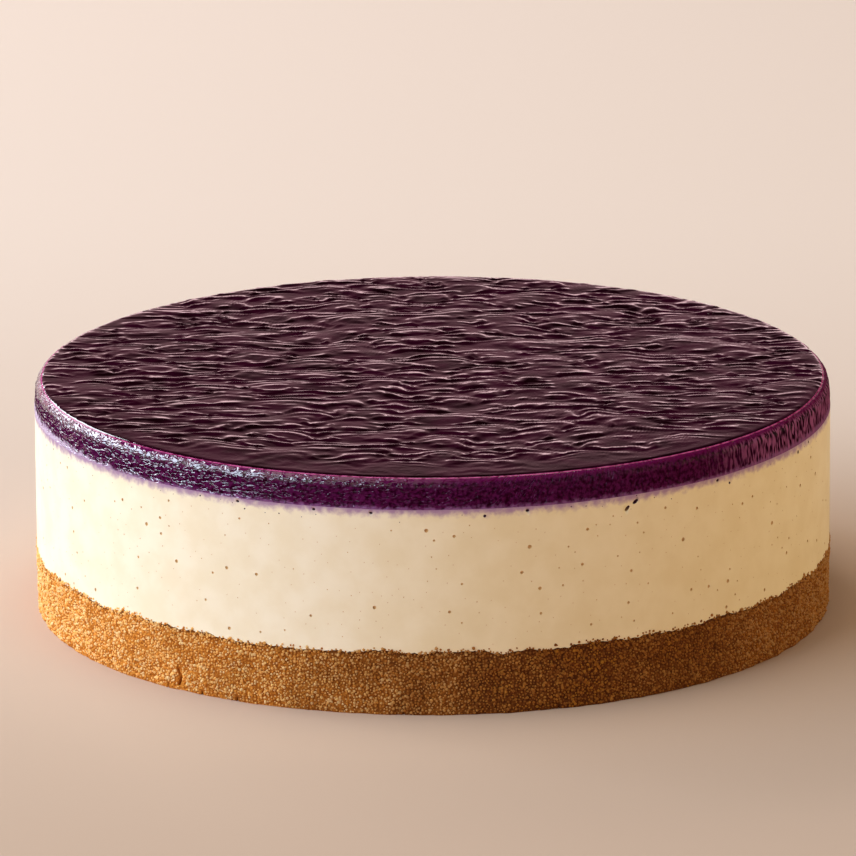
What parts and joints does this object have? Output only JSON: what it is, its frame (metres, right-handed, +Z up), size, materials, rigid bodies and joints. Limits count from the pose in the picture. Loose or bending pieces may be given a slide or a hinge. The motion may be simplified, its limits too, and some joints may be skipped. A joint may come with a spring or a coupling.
{
  "type": "baked cheesecake",
  "caption": "Whole round cheesecake: pressed biscuit crumb base, smooth cream filling and a rippled, glossy berry jelly layer on top.",
  "frame": {"origin": "middle of the flat face of the crumb base that the cake rests on", "axes": "+Z up through the layers; -Y is the front, where the crumb base has its small crack; +X to the right seen from the front"},
  "size_m": [0.2292, 0.229, 0.0679],
  "materials": {
    "biscuit_crumb": "golden brown pressed biscuit crumbs, rough and matt",
    "cream_filling": "smooth pale cream with small pores",
    "berry_jelly": "dark plum set jelly, glossy, with a rippled skin"
  },
  "bodies": {
    "root": {"crumb_base": "biscuit_crumb", "cream_filling": "cream_filling", "berry_jelly": "berry_jelly"}
  },
  "joints": []
}
